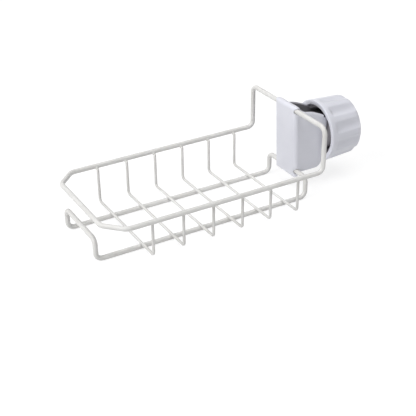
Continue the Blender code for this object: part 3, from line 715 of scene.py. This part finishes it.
def add_necks(shell, wall_end):
    """Draw out the part of the rear face that enters the nut."""
    half = wall_top(wall_end, wall_end) - NUT_AXIS - NECK_DROP
    for z in (NUT_AXIS - half, NUT_AXIS + half):
        cut_across((0, 0, z), (0, 0, 1))
    pick(shell, "FACE", lambda p: near(p.x, wall_end) and abs(p.z - NUT_AXIS) < half + SAME_PLACE)
    bpy.ops.mesh.extrude_region_move(TRANSFORM_OT_translate={"value": (NECK_LENGTH, 0, 0)})


def make_body():
    """Rear half of the housing: back plate and two walls whose necks enter the nut."""
    wall_end = BODY_HIGH.x - NECK_LENGTH
    front, top = BODY_LOW.x - SEAM_SPARE, CROWN.z + WRAP_R
    shell = begin_block("body_shell", (front, BODY_LOW.y, BODY_LOW.z), (wall_end, BODY_HIGH.y, top))
    pick(shell, "EDGE", lambda p: near(p.x, wall_end) and near(p.z, BODY_LOW.z))
    round_off(HEEL_ROUND, HEEL_STEPS)
    columns = cut_columns(wall_end)
    add_necks(shell, wall_end)
    shape_top(shell, columns, top, wall_end)
    shape_belly(shell)
    bpy.ops.mesh.select_all(action="SELECT")
    bpy.ops.mesh.dissolve_limited(angle_limit=FLAT_ANGLE)
    round_outline(shell, BODY_HIGH.y, front, WALL_ROUND)
    inner = BODY_HIGH.y - WALL_THICK
    channel = begin_block("channel", (UPPER_BAR.x + PLATE_BACK, -inner, BODY_LOW.z - OVERRUN),
                          (BODY_HIGH.x + OVERRUN, inner, BODY_HIGH.z + OVERRUN))
    carve(shell, channel)
    add_wire_holes(shell)
    soften_edges(shell)
    trim_at_seam(shell, CROWN + SEAM_NORMAL * SEAM_LINE, -SEAM_NORMAL)
    finish(shell, LIGHT_PLASTIC, "rack", "housing_plastic", "clamp_body")


# Turned pieces

def turn_profile(name, profile, sides, height, filled=False):
    """Carry a ring along X and size it at each (x, radius) of a profile."""
    x, radius = profile[0]
    fill = "NGON" if filled else "NOTHING"
    piece = begin(name, bpy.ops.mesh.primitive_circle_add, vertices=sides, radius=radius, fill_type=fill,
                  location=(x, 0, height), rotation=(0, math.pi / 2, 0))
    bpy.ops.mesh.select_all(action="SELECT")
    for next_x, next_radius in profile[1:]:
        bpy.ops.mesh.extrude_region_move(TRANSFORM_OT_translate={"value": (next_x - x, 0, 0)})
        spread = next_radius / radius
        bpy.ops.transform.resize(value=(1, spread, spread), center_override=(next_x, 0, height))
        x, radius = next_x, next_radius
    close_up(piece)
    return piece


def quarter_round(x, radius, along, inward, steps):
    """Points of a quarter of an ellipse that starts on the outside and turns towards the axis."""
    turns = [math.pi / 2 * k / steps for k in range(1, steps + 1)]
    return [(x + along * math.sin(turn), radius - inward * (1 - math.cos(turn))) for turn in turns]


def flute_depth(angle):
    """Share of a finger flute's depth at an angle round the nut: 0 on a land, 1 in its middle."""
    turn = (FLUTES * angle / (2 * math.pi) - FLUTE_TURN_SHARE + 1 / 2) % 1 - 1 / 2
    return max(0, 1 - (turn / FLUTE_HALF_SHARE) ** 2) ** FLUTE_POWER


def nut_radius(x):
    """Radius of the nut's lands, which taper a little from its front to its shoulder."""
    return NUT_R - NUT_TAPER * (x - NUT_LOW.x) / (NUT_HIGH.x - NUT_SHOULDER - NUT_LOW.x)


def press_flutes(nut, rings):
    """Draw the rings in to the floor of the flutes, one phase of the wave at a time."""
    bpy.ops.object.mode_set(mode="EDIT")
    for phase in range(FLUTE_STEPS):
        depth = FLUTE_DEPTH * flute_depth(2 * math.pi * phase / (FLUTES * FLUTE_STEPS))
        for x, radius, share in rings:
            pick(nut, "VERT", lambda p: near(p.x, x) and near(from_axis(p), radius) and in_phase(p, phase))
            shrink = min(1, (nut_radius(x) - depth * share) / radius)
            bpy.ops.transform.resize(value=(1, shrink, shrink), center_override=(x, 0, NUT_AXIS))
    bpy.ops.object.mode_set(mode="OBJECT")


def from_axis(point):
    """Distance of a point from the nut's axis."""
    return math.hypot(point.y, point.z - NUT_AXIS)


def in_phase(point, phase):
    """Whether a point lies on one of the lines that repeat at each flute."""
    angle = math.atan2(point.z - NUT_AXIS, point.y)
    step = round(angle / (2 * math.pi) * FLUTES * FLUTE_STEPS)
    return step % FLUTE_STEPS == phase


def make_nut():
    """Hand nut: stepped front ring, plain band, and finger flutes that run out on its far shoulder."""
    front, back = NUT_LOW.x, NUT_HIGH.x
    land_start, land_end = front + FLUTE_BAND, back - NUT_SHOULDER
    seat = NUT_R - NUT_TAPER - NUT_SHOULDER
    step = front + RIM_STEP_DEPTH
    lip = front + NUT_LIP
    cap_outer = back - CAP_RECESS
    cap_inner = cap_outer - CAP_THICK
    places = [(land_start + FLUTE_START * along, share) for along, share in RUNOUT_SHARES] + [(land_end, 1)]
    rings = [(x, nut_radius(x), share) for x, share in places]
    shoulder = quarter_round(land_end, nut_radius(land_end), NUT_SHOULDER, SHOULDER_DROP, SHOULDER_STEPS)
    profile = [(cap_inner, NUT_BORE), (step + NUT_MOUTH, NUT_BORE), (step, NUT_BORE + NUT_MOUTH),
               (step, RIM_STEP_RADIUS), (front, RIM_STEP_RADIUS + RIM_STEP_WIDTH)]
    profile += reversed(quarter_round(lip, nut_radius(lip), -NUT_LIP, NUT_LIP, LIP_STEPS))
    profile += [(lip, nut_radius(lip))] + [(x, radius) for x, radius, share in rings] + shoulder
    profile += [(back, seat + SLIVER), (cap_outer, seat), (cap_inner, seat), (cap_inner, NUT_BORE)]
    nut = turn_profile("nut_shell", profile, FLUTES * FLUTE_STEPS, NUT_AXIS)
    press_flutes(nut, rings[1:] + [(x, radius, 1) for x, radius in shoulder[:-1]])
    finish(nut, LIGHT_PLASTIC, "nut", "housing_plastic", "clamp_nut")


def make_cap():
    """End cap with a shallow dish round a hub, and a recess for the swivel screw."""
    low, high = corners_of("nut_end_cap")
    inner, radius = high.x - CAP_THICK, high.y
    recess = corners_of("swivel_washer")[1].y + THIN_GAP
    floor = corners_of("swivel_washer")[0].x - THIN_GAP
    dish = high.x - CAP_DISH_DEPTH
    profile = [(low.x, CAP_HOLE), (low.x, BOSS_RADIUS - CAP_EDGE), (low.x + CAP_EDGE, BOSS_RADIUS),
               (inner, BOSS_RADIUS), (inner, radius), (high.x - CAP_EDGE, radius),
               (high.x, radius - CAP_EDGE), (high.x, CAP_DISH_RADIUS + CAP_DISH_DEPTH),
               (dish, CAP_DISH_RADIUS), (dish, CAP_HUB_RADIUS), (high.x, CAP_HUB_RADIUS - CAP_DISH_DEPTH),
               (high.x, recess), (floor, recess), (floor, CAP_HOLE), (low.x, CAP_HOLE)]
    cap = turn_profile("nut_cap", profile, CAP_SIDES, NUT_AXIS)
    soften_edges(cap)
    finish(cap, LIGHT_PLASTIC, "nut", "housing_plastic", "nut_end_cap")


def make_washer():
    """Flat washer with slanted outer edges."""
    low, high = corners_of("swivel_washer")
    edge = (high.x - low.x) * WASHER_EDGE_SHARE
    profile = [(low.x, WASHER_HOLE), (low.x, high.y - edge), (low.x + edge, high.y), (high.x - edge, high.y),
               (high.x, high.y - edge), (high.x, WASHER_HOLE), (low.x, WASHER_HOLE)]
    washer = turn_profile("washer", profile, CAP_SIDES, NUT_AXIS)
    finish(washer, STEEL, "presser", "screw_steel", "swivel_washer")


def make_screw(node, body, shank, head_height):
    """Pan-head screw with a pointed end and a tapered cross recess."""
    low, high = corners_of(node)
    height = (low.z + high.z) / 2
    radius = high.y
    seat = high.x - head_height
    profile = [(low.x, shank * POINT_WIDTH_SHARE), (low.x + shank * POINT_LENGTH_SHARE, shank),
               (seat, shank), (seat, radius), (seat + head_height * HEAD_RIM_SHARE, radius)]
    profile += [(seat + head_height * along, radius * share) for along, share in HEAD_TOP_SHARES]
    screw = turn_profile(f"{node}_dressed", profile, SCREW_SIDES, height, filled=True)
    depth = head_height * DRIVE_DEPTH_SHARE
    narrow, wide = radius * DRIVE_WIDTH_SHARE / 2, radius * DRIVE_SPAN_SHARE / 2
    for half_y, half_z in ((narrow, wide), (wide, narrow)):
        slot = begin_block("drive_slot", (high.x - depth, -half_y, height - half_z),
                           (high.x + depth, half_y, height + half_z))
        pick(slot, "VERT", lambda p: p.x < high.x)
        bpy.ops.transform.resize(value=(1, DRIVE_TAPER_SHARE, DRIVE_TAPER_SHARE),
                                 center_override=(high.x, 0, height))
        carve(screw, slot)
    finish(screw, STEEL, body, "screw_steel", node)


# Rubber pads

def along_x(a, b):
    """Whether an edge between two points runs along X."""
    return near(a.y, b.y) and near(a.z, b.z)


def make_pad(node, name, body, facing):
    """Soft pad with rounded corners and cross grooves in the face that looks to +X (1) or -X (-1)."""
    low, high = corners_of(node)
    face = high.x if facing > 0 else low.x
    pad = begin_block(name, low, high)
    pick_edges(pad, along_x)
    round_off(PAD_CORNER, PAD_CORNER_STEPS)
    pick(pad, "FACE", lambda p: near(p.x, face))
    round_off(PAD_EDGE, PAD_EDGE_STEPS)
    count = int((high.z - low.z - 2 * PAD_MARGIN) / PAD_GROOVE_PITCH)
    middle = (low.z + high.z) / 2
    heights = [middle + PAD_GROOVE_PITCH * (k - (count - 1) / 2) for k in range(count)]
    half = high.y - PAD_MARGIN
    for height in heights:
        groove = begin_block("groove", (face - PAD_GROOVE_DEPTH, -half, height - PAD_GROOVE_WIDTH / 2),
                             (face + PAD_GROOVE_DEPTH, half, height + PAD_GROOVE_WIDTH / 2))
        pick_edges(groove, along_x)
        round_off(PAD_GROOVE_WIDTH / 2 - SAME_PLACE, PAD_GROOVE_STEPS)
        carve(pad, groove)
    finish(pad, DARK_RUBBER, body, "dark_rubber", node)


# Dark moulded pieces, in a plastic whose darkness is partly painted shade inside the clamp

def dress_solid(node, name, body):
    """Copy a solid, merge its loose triangles into flat faces and round its edges."""
    piece = bpy.data.objects.new(name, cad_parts[node].data.copy())
    bpy.context.collection.objects.link(piece)
    close_up(piece)
    open_whole(piece)
    bpy.ops.mesh.dissolve_limited(angle_limit=FLAT_ANGLE)
    soften_edges(piece)
    finish(piece, DARK_AND_SHADE_PLASTIC, body, "dark_plastic", node)


# Surroundings

def make_floor_paper():
    """Glows white to the camera but keeps the rack's shadow, and is plain pale paper to other rays."""
    material = bpy.data.materials.new("floor")
    material.use_nodes = True
    nodes, links = material.node_tree.nodes, material.node_tree.links
    nodes.remove(nodes["Principled BSDF"])
    seen = nodes.new("ShaderNodeBsdfDiffuse")
    paper = nodes.new("ShaderNodeBsdfDiffuse")
    glow = nodes.new("ShaderNodeEmission")
    seen.inputs["Color"].default_value = (*SEEN_FLOOR, 1.0)
    paper.inputs["Color"].default_value = (*LIT_FLOOR, 1.0)
    glow.inputs["Strength"].default_value = FLOOR_GLOW
    both, mix = nodes.new("ShaderNodeAddShader"), nodes.new("ShaderNodeMixShader")
    links.new(seen.outputs[0], both.inputs[0])
    links.new(glow.outputs[0], both.inputs[1])
    links.new(direct_view(nodes, links), mix.inputs["Fac"])
    links.new(paper.outputs[0], mix.inputs[1])
    links.new(both.outputs[0], mix.inputs[2])
    links.new(mix.outputs[0], nodes["Material Output"].inputs["Surface"])
    return material


def add_floor():
    """Wide floor under the rack, which is no part of it."""
    floor = begin("floor", bpy.ops.mesh.primitive_plane_add, size=FLOOR_SIZE)
    bpy.ops.object.mode_set(mode="OBJECT")
    floor.data.materials.append(make_floor_paper())


def direct_view(nodes, links):
    """1 for rays from the camera, or seen in a reflection or through something clear."""
    path = nodes.new("ShaderNodeLightPath")
    first, second = nodes.new("ShaderNodeMath"), nodes.new("ShaderNodeMath")
    first.operation = second.operation = "MAXIMUM"
    links.new(path.outputs["Is Camera Ray"], first.inputs[0])
    links.new(path.outputs["Is Glossy Ray"], first.inputs[1])
    links.new(first.outputs[0], second.inputs[0])
    links.new(path.outputs["Is Transmission Ray"], second.inputs[1])
    return second.outputs[0]


def set_world():
    """White behind everything, and an even soft light."""
    world = bpy.data.worlds.new("studio")
    bpy.context.scene.world = world
    world.use_nodes = True
    nodes, links = world.node_tree.nodes, world.node_tree.links
    light = nodes["Background"]
    light.inputs["Color"].default_value = (*SKY_COLOUR, 1.0)
    light.inputs["Strength"].default_value = SKY_STRENGTH
    white, mix = nodes.new("ShaderNodeBackground"), nodes.new("ShaderNodeMixShader")
    white.inputs["Color"].default_value = (*BACKDROP, 1.0)
    links.new(direct_view(nodes, links), mix.inputs["Fac"])
    links.new(light.outputs[0], mix.inputs[1])
    links.new(white.outputs[0], mix.inputs[2])
    links.new(mix.outputs[0], nodes["World Output"].inputs["Surface"])


def add_softbox(name, toward, size, power):
    """A square lamp that looks at the middle of the rack from a direction."""
    lamp = bpy.data.lights.new(name, "AREA")
    lamp.shape = "SQUARE"
    lamp.size = size
    lamp.energy = power
    place = Vector(toward).normalized() * LAMP_DISTANCE
    holder = bpy.data.objects.new(name, lamp)
    bpy.context.collection.objects.link(holder)
    holder.location = place
    holder.rotation_euler = place.to_track_quat("Z", "Y").to_euler()


def add_camera():
    """Camera at the place and aim fitted to the photograph."""
    camera = bpy.data.cameras.new("camera")
    camera.lens = CAMERA_LENS
    camera.sensor_width = CAMERA_SENSOR
    holder = bpy.data.objects.new("camera", camera)
    bpy.context.collection.objects.link(holder)
    aim = Euler((math.pi / 2 - math.radians(CAMERA_DOWN), 0, -math.radians(CAMERA_AZIMUTH))).to_matrix()
    roll = Euler((0, 0, math.radians(CAMERA_ROLL))).to_matrix()
    holder.location = CAMERA_PLACE
    holder.rotation_euler = (aim @ roll).to_euler()
    bpy.context.scene.camera = holder


make_rim()
make_base()
for index in range(CROSS_WIRES):
    make_cross_wire(index + 1)
make_cover()
make_body()
make_nut()
make_cap()
make_washer()
make_screw("swivel_screw", "presser", SWIVEL_SHANK, SWIVEL_HEAD_HEIGHT)
make_screw("cover_screw_lower", "rack", COVER_SHANK, COVER_HEAD_HEIGHT)
make_screw("cover_screw_upper", "rack", COVER_SHANK, COVER_HEAD_HEIGHT)
make_pad("grip_liner", "jaw_pad", "rack", 1)
make_pad("presser_pad", "pressing_pad", "presser", -1)
dress_solid("threaded_jaw", "jaw", "rack")
dress_solid("nut_thread_sleeve", "thread_sleeve", "nut")
dress_solid("presser_block", "presser", "presser")
add_floor()
set_world()
for softbox in SOFTBOXES:
    add_softbox(*softbox)
add_camera()
bpy.context.scene.view_settings.view_transform = "Standard"
